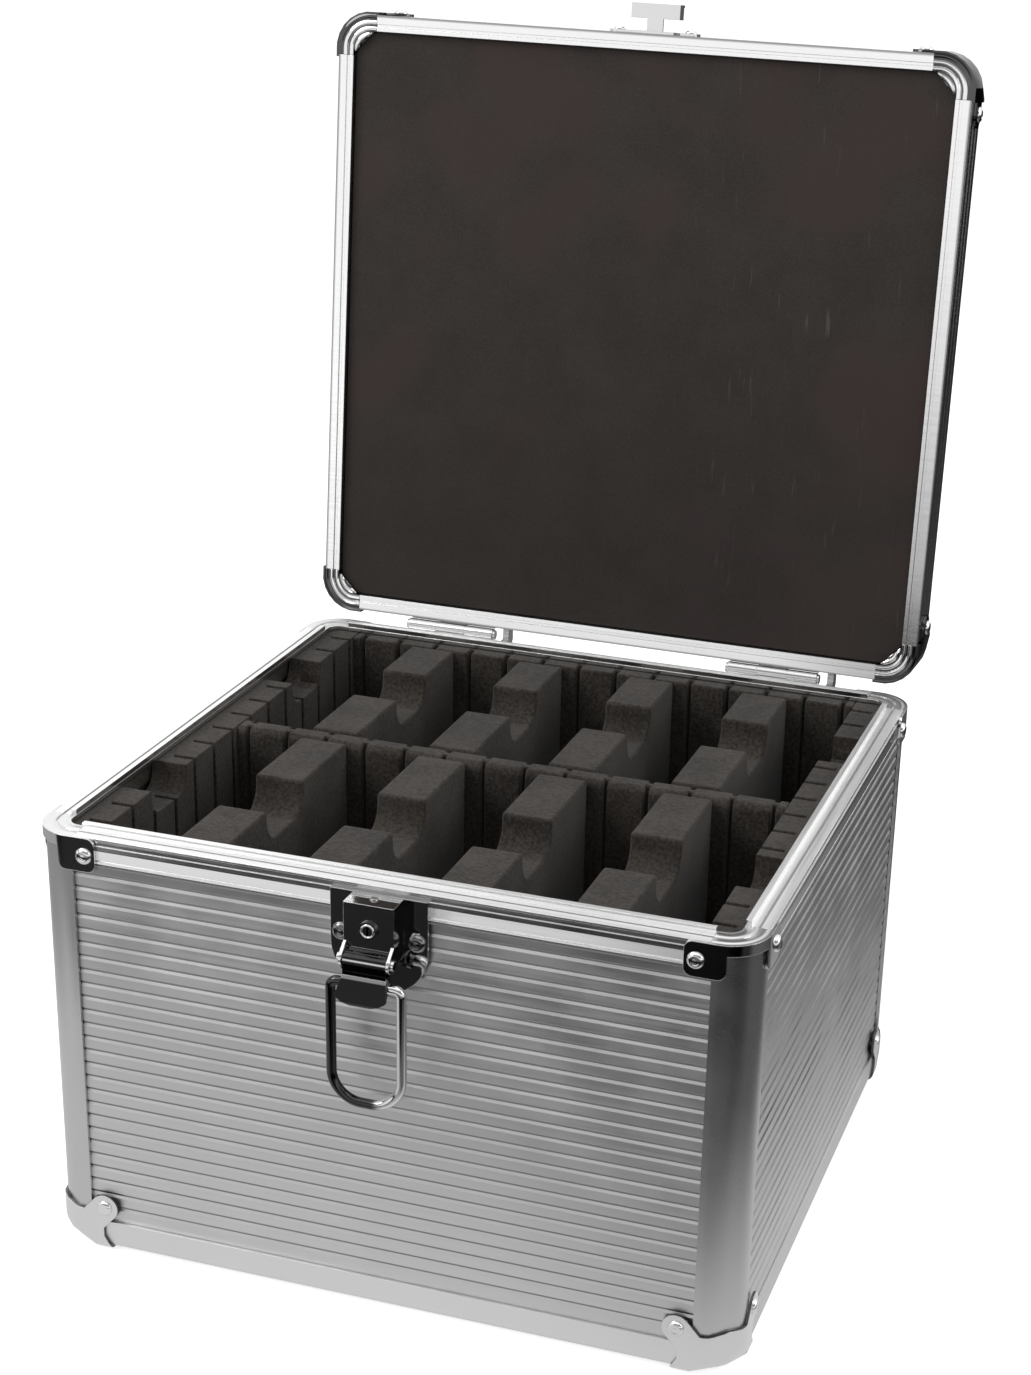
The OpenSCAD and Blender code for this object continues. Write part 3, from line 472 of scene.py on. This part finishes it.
def worn_and_shaded(tree, colour):
    """The lining's scratches, strongest on the right, its rubbed patches and the painted shade at its foot.
    """
    x, y, z = tree.place_mm()
    lines = tree.noise(SCRATCH_MM, stretch=SCRATCH_STRETCH, detail=2)
    scratches = tree.times(tree.step(lines, 0.65, 0.78), tree.step(x, *SCRATCHED_X, 0.05, 0.5))
    colour = tree.tint(scratches, colour, SCRATCH_COLOUR)
    rubbed = tree.step(tree.noise(PATCH_MM, detail=1), 0.48, 0.64, 0.0, 0.7)
    colour = tree.tint(rubbed, colour, RUBBED_COLOUR)
    # Painted shade towards the foot of the lining
    return tree.tint(tree.step(z, *SHADED_Z, 0.3, 0.0), colour, SHADED_COLOUR)


def foam_material(name, low, high, grain, bump_mm, wear_and_shade=None):
    """Closed-cell foam: fine pores and broad shade, with wear and painted shade where they are given."""
    made, tree, shader = new_material(name)
    pores = tree.noise(grain, detail=5, rough=0.7)
    broad = tree.noise(BROAD_MM, detail=3)
    shade = tree.plus(tree.times(pores, 0.7), tree.times(broad, 0.3))
    colour = tree.tint(tree.step(shade, 0.39, 0.61), low, high)
    if wear_and_shade:
        colour = wear_and_shade(tree, colour)
    tree.link(colour, shader.inputs["Base Color"])
    shader.inputs["Roughness"].default_value = 0.9
    shader.inputs["Specular IOR Level"].default_value = 0.25
    shader.inputs["Sheen Weight"].default_value = 0.15
    tree.link(tree.bump(pores, 0.6, bump_mm), shader.inputs["Normal"])
    return made


def grained(name, colour, rough):
    """Plain rubber or plastic with a fine grain."""
    made, tree, shader = new_material(name)
    grain = tree.noise(GRAIN_MM, detail=2)
    shader.inputs["Base Color"].default_value = colour
    tree.link(tree.step(grain, 0.3, 0.7, rough - 0.06, rough + 0.06), shader.inputs["Roughness"])
    tree.link(tree.bump(grain, 0.25, 0.1), shader.inputs["Normal"])
    return made


panel_x = metal("ribbed_panel_x", 0.64, 0.38, ALONG_X, edge=0.2, dark=rib_painted_shade, dark_level=0.32)
panel_y = metal("ribbed_panel_y", 0.64, 0.38, ALONG_Y, edge=0.2, dark=rib_painted_shade, dark_level=0.32)
floor_panel = metal("bottom_panel", 0.6, 0.4, ALONG_X)
post_metal = metal("satin_post", 0.6, 0.28, blotch=0.015)
rim_x = rim_metal("bright_rim_x", ALONG_X)
rim_y = rim_metal("bright_rim_y", ALONG_Y)
rail_x = bright("bright_rail_x", 0.78, 0.4, ALONG_X)
# The left and right rails are the same bright rail set darker than the front and back ones: painted shade on
# the sides
rail_y = bright("bright_rail_y", 0.66, 0.4, ALONG_Y)
rail_lid = bright("bright_lid_rail", 0.96, 0.2, ALONG_X, dark=lid_rail_painted_dark, dark_level=0.2,
                  relief=lid_foot_slope)
rim_chrome = bright("rim_corner_chrome", 0.84, 0.07, dull=facing_up, relief=rim_beads)
lid_chrome = bright("lid_corner_chrome", 0.88, 0.09, relief=lid_beads, dark=lid_corner_painted_dark, dark_level=0.1,
                    grazing=0.2)
foot_metal = bright("foot_corner_metal", 0.78, 0.24)
# Painted shade at the edges of the foot corners and painted dark reflection at the edges of the catch
painted_dark_edge = bright("painted_dark_edge", 0.13, 0.35, edge=0.0)
latch_chrome = bright("latch_chrome", 0.76, 0.06)
lever_chrome = bright("lever_chrome", 0.66, 0.1, dark=lever_painted_dark, dark_level=0.05)
bail_chrome = bright("bail_chrome", 0.7, 0.1, edge=0.2, dark=left_of_bend, dark_level=0.06)
rivet_metal = bright("rivet_steel", 0.8, 0.08, edge=0.0)
# The latch's rivets are the rivet steel set dark: painted dark reflection
latch_rivet_painted_dark = bright("latch_rivet_steel_painted_dark", 0.24, 0.1, edge=0.0)
hinge_metal = metal("hinge_steel", 0.7, 0.2, edge=0.25)
lock_metal = bright("lock_steel", 0.12, 0.2, edge=0.15)
dark_foam = foam_material("dark_foam", (0.018, 0.0146, 0.0118, 1), (0.056, 0.0472, 0.0400, 1), 1.3, 0.5)
lining_foam = foam_material("lid_foam", (0.029, 0.0240, 0.0215, 1), (0.043, 0.0355, 0.0320, 1), 0.7, 0.12,
                            worn_and_shaded)
rubber = grained("foot_rubber", (0.02, 0.02, 0.02, 1), 0.75)
grip_plastic = grained("handle_plastic", (0.015, 0.015, 0.016, 1), 0.45)


# Pieces that stand for the frame's nodes
def place_in_scene(name, data):
    made = bpy.data.objects.new(name, data)
    bpy.context.scene.collection.objects.link(made)
    return made


def merged_copy(node, name, turn_smooth=None):
    """A closed copy of a node's mesh, welded, with faces that lie in one plane joined."""
    mesh = nodes[node].data.copy()
    mesh.name = name
    work = bmesh.new()
    work.from_mesh(mesh)
    bmesh.ops.remove_doubles(work, verts=work.verts, dist=WELD_MM * MM)
    bmesh.ops.dissolve_limit(work, angle_limit=FLAT_TURN, verts=work.verts, edges=work.edges)
    if turn_smooth:
        for edge in work.edges:
            edge.smooth = len(edge.link_faces) == 2 and edge.calc_face_angle(math.pi) < turn_smooth
        for face in work.faces:
            face.smooth = True
    work.to_mesh(mesh)
    work.free()
    mesh.materials.clear()
    return place_in_scene(name, mesh)


def body_of_node(node):
    return next(body for body, members in behaviour["bodies"].items() if node in members)


def stand_for(piece, node):
    """Lets a piece ride and stand for a node."""
    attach(piece, body_of_node(node))
    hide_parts(node)


def apply_modifiers(piece):
    bpy.context.view_layer.update()
    graph = bpy.context.evaluated_depsgraph_get()
    mesh = bpy.data.meshes.new_from_object(piece.evaluated_get(graph))
    piece.modifiers.clear()
    piece.data = mesh


def smooth_corner(node, material, is_edge=None):
    """A pressed sheet piece without facets; the faces that is_edge picks get painted shade and painted dark
    reflections.
    """
    piece = merged_copy(node, node + "_pressed", SMOOTH_TURN)
    piece.data.materials.append(material)
    if is_edge:
        piece.data.materials.append(painted_dark_edge)
        for polygon in piece.data.polygons:
            polygon.material_index = int(is_edge(polygon.normal, polygon.center))
    stand_for(piece, node)


def foot_edge(normal, centre):
    """The edges of a foot corner, which get painted shade, look up or back along the sides."""
    inward = min(normal.x * math.copysign(1, centre.x), normal.y * math.copysign(1, centre.y))
    return normal.z > 0.4 or inward < -0.5


def catch_edge(normal, centre):
    """The edges of the catch, which get a painted dark reflection, look up or to a side."""
    return abs(normal.x) > 0.8 or normal.z > 0.8


def foam_piece(node, material, radius_mm):
    """Cut foam: the node's shape with its outer edges rounded, and its knife cuts left sharp inside."""
    piece = merged_copy(node, node + "_soft")
    work = bmesh.new()
    work.from_mesh(piece.data)
    weight = work.edges.layers.float.new("bevel_weight_edge")
    for edge in work.edges:
        if edge.is_convex and edge.calc_face_angle(0) > SOFT_TURN:
            edge[weight] = 1
    for face in work.faces:
        face.smooth = True
    work.to_mesh(piece.data)
    work.free()
    bevel = piece.modifiers.new("soft_edges", "BEVEL")
    bevel.width = radius_mm * MM
    bevel.segments = 3
    bevel.limit_method = "WEIGHT"
    bevel.use_clamp_overlap = True
    piece.modifiers.new("flat_faces", "WEIGHTED_NORMAL")
    apply_modifiers(piece)
    piece.data.materials.append(material)
    stand_for(piece, node)


# Rivets
def dome(tree, sides, crown_height, dimple_depth):
    """A rivet's head of radius 1: a crown with a dimple in it, and a nearly flat back."""
    ball = tree.add("GeometryNodeMeshUVSphere")
    ball.inputs["Rings"].default_value = HEAD_RINGS
    ball.inputs["Radius"].default_value = 1
    tree.link(sides, ball.inputs["Segments"])
    x, y, z = tree.split(tree.add("GeometryNodeInputPosition").outputs["Position"])
    dimple = tree.times(tree.step(tree.length(x, y), *DIMPLE_SLOPE), dimple_depth)
    crown = tree.minus(tree.times(z, crown_height), dimple)
    back = tree.times(z, HEAD_BACK)
    shaped = tree.add("ShaderNodeCombineXYZ")
    tree.link(x, shaped.inputs["X"])
    tree.link(y, shaped.inputs["Y"])
    tree.link(tree.mix(tree.math("GREATER_THAN", z, 0.0), back, crown), shaped.inputs["Z"])
    head = tree.add("GeometryNodeSetPosition")
    tree.link(ball.outputs["Mesh"], head.inputs["Geometry"])
    tree.link(shaped.outputs["Vector"], head.inputs["Position"])
    return head.outputs["Geometry"]


def point_value(tree, name, kind):
    given = tree.add("GeometryNodeInputNamedAttribute", data_type=kind)
    given.inputs["Name"].default_value = name
    return given.outputs["Attribute"]


def rivet_tree():
    """Sets a dome on each point, turned to the point's facing and as large as its head radius says."""
    group = bpy.data.node_groups.new("dome_rivets", "GeometryNodeTree")
    sockets = {}
    for name, kind in (("Geometry", "Geometry"), ("Crown height", "Float"), ("Dimple depth", "Float"),
                       ("Sides", "Int"), ("Finish", "Material")):
        made = group.interface.new_socket(name, in_out="INPUT", socket_type="NodeSocket" + kind)
        sockets[name] = made.identifier
    group.interface.new_socket("Geometry", in_out="OUTPUT", socket_type="NodeSocketGeometry")
    tree = Tree(group)
    given = tree.add("NodeGroupInput").outputs
    head = dome(tree, given["Sides"], given["Crown height"], given["Dimple depth"])
    turn = tree.add("FunctionNodeAlignRotationToVector", axis="Z")
    tree.link(point_value(tree, "facing", "FLOAT_VECTOR"), turn.inputs["Vector"])
    place = tree.add("GeometryNodeInstanceOnPoints")
    tree.link(given["Geometry"], place.inputs["Points"])
    tree.link(head, place.inputs["Instance"])
    tree.link(turn.outputs["Rotation"], place.inputs["Rotation"])
    tree.link(point_value(tree, "head_radius", "FLOAT"), place.inputs["Scale"])
    smooth = tree.add("GeometryNodeSetShadeSmooth")
    tree.link(place.outputs["Instances"], smooth.inputs["Geometry"])
    real = tree.add("GeometryNodeRealizeInstances")
    tree.link(smooth.outputs["Geometry"], real.inputs["Geometry"])
    finish = tree.add("GeometryNodeSetMaterial")
    tree.link(real.outputs["Geometry"], finish.inputs["Geometry"])
    tree.link(given["Finish"], finish.inputs["Material"])
    out = tree.add("NodeGroupOutput")
    tree.link(finish.outputs["Geometry"], out.inputs["Geometry"])
    return group, sockets


def loose_parts(node):
    """The points of each separate solid in a node."""
    work = bmesh.new()
    work.from_mesh(nodes[node].data)
    bmesh.ops.remove_doubles(work, verts=work.verts, dist=WELD_MM * MM)
    left = set(work.verts)
    parts = []
    while left:
        part = [left.pop()]
        for vert in part:
            for edge in vert.link_edges:
                other = edge.other_vert(vert)
                if other in left:
                    left.remove(other)
                    part.append(other)
        parts.append([vert.co.copy() for vert in part])
    work.free()
    return parts


def rivet_head(points):
    """Seat, facing and radius of a rivet's head: the way that its round rim lies nearest to its top."""
    best = None
    ways = [Vector(way) for way in ((1, 0, 0), (0, 1, 0), (0, 0, 1))] + [LID_DOWN, LID_OUT]
    for way in ways + [-way for way in ways]:
        side = Vector((1, 0, 0)) if abs(way.x) < 0.5 else Vector((0, 1, 0))
        other = way.cross(side)
        spans = [[min(p.dot(a) for p in points), max(p.dot(a) for p in points)] for a in (side, other, way)]
        widths = [high - low for low, high in spans]
        radius = widths[0] / 2
        middle = side * sum(spans[0]) / 2 + other * sum(spans[1]) / 2
        rim = [p.dot(way) for p in points if (p - middle - way * p.dot(way)).length > radius * HEAD_RIM]
        seat = min(rim)
        cost = OUT_OF_ROUND_COST * abs(widths[0] - widths[1]) + spans[2][1] - seat
        if best is None or cost < best[0]:
            best = (cost, middle + way * seat, way, radius)
    return best[1:]


def make_rivets(node, group, sockets, finish):
    heads = [rivet_head(points) for points in loose_parts(node)]
    mesh = bpy.data.meshes.new(node + "_domes")
    mesh.from_pydata([seat for seat, way, radius in heads], [], [])
    facing = mesh.attributes.new("facing", "FLOAT_VECTOR", "POINT")
    facing.data.foreach_set("vector", [value for seat, way, radius in heads for value in way])
    size = mesh.attributes.new("head_radius", "FLOAT", "POINT")
    size.data.foreach_set("value", [radius for seat, way, radius in heads])
    piece = place_in_scene(node + "_domes", mesh)
    modifier = piece.modifiers.new("dome_rivets", "NODES")
    modifier.node_group = group
    for name, value in (("Crown height", CROWN_HEIGHT), ("Dimple depth", DIMPLE_DEPTH),
                        ("Sides", HEAD_SIDES), ("Finish", finish)):
        modifier[sockets[name]] = value
    apply_modifiers(piece)
    stand_for(piece, node)


def make_lock_ring():
    """Turned ring on the face of the lock cylinder."""
    middle = Vector(joint("lock_turn")["pos_m"])
    middle.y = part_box("lock_cylinder")[0][1]
    bpy.ops.mesh.primitive_torus_add(major_radius=RING_MM * MM, minor_radius=RING_WIRE_MM * MM,
                                     major_segments=48, minor_segments=12)
    ring = bpy.context.object
    ring.name = "lock_ring"
    ring.data.transform(Matrix.Translation(middle) @ Matrix.Rotation(math.pi / 2, 4, "X"))
    for polygon in ring.data.polygons:
        polygon.use_smooth = True
    ring.data.materials.append(rivet_metal)
    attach(ring, body_of_node("lock_cylinder"))


# Dressing the case
def starting(prefix):
    return [name for name in nodes if name.startswith(prefix)]


def paint(material, *names):
    for name in names:
        node = nodes[name]
        if not node.material_slots:
            node.data.materials.append(material)
        for place in node.material_slots:
            place.link = "OBJECT"
            place.material = material


def dress_case():
    paint(panel_x, "front_panel", "back_panel", "lid_panel")
    paint(floor_panel, "bottom_panel")
    paint(panel_y, "left_panel", "right_panel")
    paint(post_metal, *starting("post_"))
    paint(rim_x, "rim_front", "rim_back")
    paint(rim_y, "rim_left", "rim_right")
    paint(rail_x, "bottom_rail_front", "bottom_rail_back")
    paint(rail_y, "bottom_rail_left", "bottom_rail_right")
    paint(rail_lid, *starting("lid_rail"))
    paint(hinge_metal, "hinge_base_leaves", "hinge_pins", "hinge_lid_leaves")
    paint(latch_chrome, "latch_plate", "lock_box", "lever_pin")
    paint(lever_chrome, "latch_lever")
    paint(lock_metal, "lock_cylinder")
    paint(rubber, "base_feet")
    paint(grip_plastic, "handle_brackets", "handle_grip")
    for name in starting("foot_corner"):
        smooth_corner(name, foot_metal, foot_edge)
    for name in starting("rim_corner"):
        smooth_corner(name, rim_chrome)
    for name in starting("lid_corner"):
        smooth_corner(name, lid_chrome)
    smooth_corner("lid_catch", latch_chrome, catch_edge)
    smooth_corner("bail_loop", bail_chrome)
    group, sockets = rivet_tree()
    make_rivets("base_rivets", group, sockets, rivet_metal)
    make_rivets("lid_rivets", group, sockets, rivet_metal)
    make_rivets("latch_rivets", group, sockets, latch_rivet_painted_dark)
    make_lock_ring()
    for name in starting("foam_"):
        foam_piece(name, dark_foam, DIVIDER_SOFT_MM if "dividers" in name else WALL_SOFT_MM)
    foam_piece("lid_lining", lining_foam, LINING_SOFT_MM)


# Stage, light and camera
def mirrored_floor(tree):
    """Brightness of the floor's painted reflection in polished metal; painted shade dims the sheet to the
    right in front of the case and to the rear beside it.
    """
    x, y, z = tree.split(tree.add("ShaderNodeTexCoord").outputs["Object"])
    # Painted shade on the mirrored sheet: dimmer to the right in front of the case and to the rear beside it
    near = tree.step(tree.plus(y, tree.step(x, *NEAR_SHIFT_X, NEAR_SHIFT, 0.0)), *NEAR_CASE_Y)
    front = tree.mix(near, tree.step(x, *DIM_TO_RIGHT_X, 1.0, 0.2), 1.0)
    beside = tree.mix(tree.step(x, *BESIDE_CASE_X), 1.0, tree.step(y, *DIM_TO_REAR_Y, 0.95, 0.15))
    right_end = tree.step(x, *SHEET_RIGHT_X, 1.0, 0.15)
    left_end = tree.step(x, *SHEET_LEFT_X, 0.5, 1.0)
    front_end = tree.step(y, *SHEET_FRONT_Y, 0.03, 1.0)
    sheet = tree.times(front, beside, right_end, left_end, front_end, SHEET_LEVEL)
    aslant = tree.plus(x, tree.times(tree.minus(y, BOARD_TURN_Y), BOARD_SLANT))
    board = tree.plus(tree.step(aslant, *BOARD_LEFT_X, 0.3, 0.0), tree.step(aslant, *BOARD_RIGHT_X, 0.8, 0.2))
    return tree.most(sheet, tree.times(board, tree.step(y, *BOARD_Y, 1.0, 0.0)))


def floor_material():
    """White to the eye. For glossy rays it glows instead, a painted reflection of a white sheet round the
    case on a dark table.
    """
    made, tree, shader = new_material("floor_white")
    shader.inputs["Base Color"].default_value = grey(0.9)
    shader.inputs["Roughness"].default_value = 0.9
    shader.inputs["Specular IOR Level"].default_value = 0.1
    path = tree.add("ShaderNodeLightPath")
    glow = tree.add("ShaderNodeEmission")
    tree.link(tree.times(path.outputs["Is Camera Ray"], FLOOR_GLOW), glow.inputs["Strength"])
    both = tree.add("ShaderNodeAddShader")
    tree.link(shader.outputs["BSDF"], both.inputs[0])
    tree.link(glow.outputs["Emission"], both.inputs[1])
    mirrored = tree.add("ShaderNodeEmission")
    tree.link(mirrored_floor(tree), mirrored.inputs["Strength"])
    pick = tree.add("ShaderNodeMixShader")
    tree.link(path.outputs["Is Glossy Ray"], pick.inputs["Fac"])
    tree.link(both.outputs["Shader"], pick.inputs[1])
    tree.link(mirrored.outputs["Emission"], pick.inputs[2])
    out = next(n for n in tree.tree.nodes if n.type == "OUTPUT_MATERIAL")
    tree.link(pick.outputs["Shader"], out.inputs["Surface"])
    return made


def make_floor():
    mesh = bpy.data.meshes.new("floor")
    corners = [(-1, -1), (1, -1), (1, 1), (-1, 1)]
    mesh.from_pydata([(x * FLOOR_HALF, y * FLOOR_HALF, FLOOR_Z) for x, y in corners], [], [(0, 1, 2, 3)])
    mesh.materials.append(floor_material())
    place_in_scene("floor", mesh)


def make_world():
    """White to the eye; polished metal mirrors a pale back wall and, in front, a bright low band."""
    world = bpy.data.worlds.new("studio")
    bpy.context.scene.world = world
    world.use_nodes = True
    tree = Tree(world.node_tree)
    x, y, z = tree.split(tree.add("ShaderNodeTexCoord").outputs["Generated"])
    front = tree.step(z, *BAND_TOP_Z, FRONT_BAND, FRONT_HIGH)
    walls = tree.mix(tree.step(y, *FRONT_HALF_Y), BACK_WALL, front)
    mirrored = tree.mix(tree.step(z, *CEILING_Z), walls, ABOVE_LEVEL)
    path = tree.add("ShaderNodeLightPath")
    seen = tree.mix(path.outputs["Is Glossy Ray"], SKY_LEVEL, mirrored)
    level = tree.mix(path.outputs["Is Camera Ray"], seen, 1.0)
    back = tree.add("ShaderNodeBackground")
    back.inputs["Color"].default_value = grey(1)
    tree.link(level, back.inputs["Strength"])
    out = tree.add("ShaderNodeOutputWorld")
    tree.link(back.outputs["Background"], out.inputs["Surface"])


def softbox(name, place, size, power):
    data = bpy.data.lights.new(name, "AREA")
    data.shape = "RECTANGLE"
    data.size, data.size_y = size
    data.energy = power
    made = place_in_scene(name, data)
    aim = Vector(LIT_POINT) - Vector(place)
    made.matrix_world = Matrix.Translation(place) @ aim.to_track_quat("-Z", "Y").to_matrix().to_4x4()


def make_lights():
    softbox("left_softbox", (-1.3, -0.9, 1.5), (1.0, 1.0), 16)
    softbox("right_softbox", (1.6, 0.1, 1.1), (0.8, 1.0), 7)


def make_camera():
    back = Vector((math.sin(AZIMUTH) * math.cos(ELEVATION), -math.cos(AZIMUTH) * math.cos(ELEVATION),
                   math.sin(ELEVATION)))
    right = Vector((math.cos(AZIMUTH), math.sin(AZIMUTH), 0))
    up = back.cross(right)
    turned_right = right * math.cos(ROLL) + up * math.sin(ROLL)
    turned_up = up * math.cos(ROLL) - right * math.sin(ROLL)
    data = bpy.data.cameras.new("photo_camera")
    data.sensor_fit = "HORIZONTAL"
    data.sensor_width = SENSOR_MM
    data.lens = FOCAL_PX / PICTURE_W * SENSOR_MM
    data.shift_x = (PICTURE_W / 2 - CENTRE_PX[0]) / PICTURE_W
    data.shift_y = (CENTRE_PX[1] - PICTURE_H / 2) / PICTURE_W
    data.clip_start = 0.01
    camera = place_in_scene("photo_camera", data)
    axes = Matrix((turned_right, turned_up, back)).transposed().to_4x4()
    camera.matrix_world = Matrix.Translation(Vector(CAMERA_MM) * MM) @ axes
    bpy.context.scene.camera = camera


make_camera()
dress_case()
make_floor()
make_world()
make_lights()
bpy.context.scene.view_settings.view_transform = "Standard"
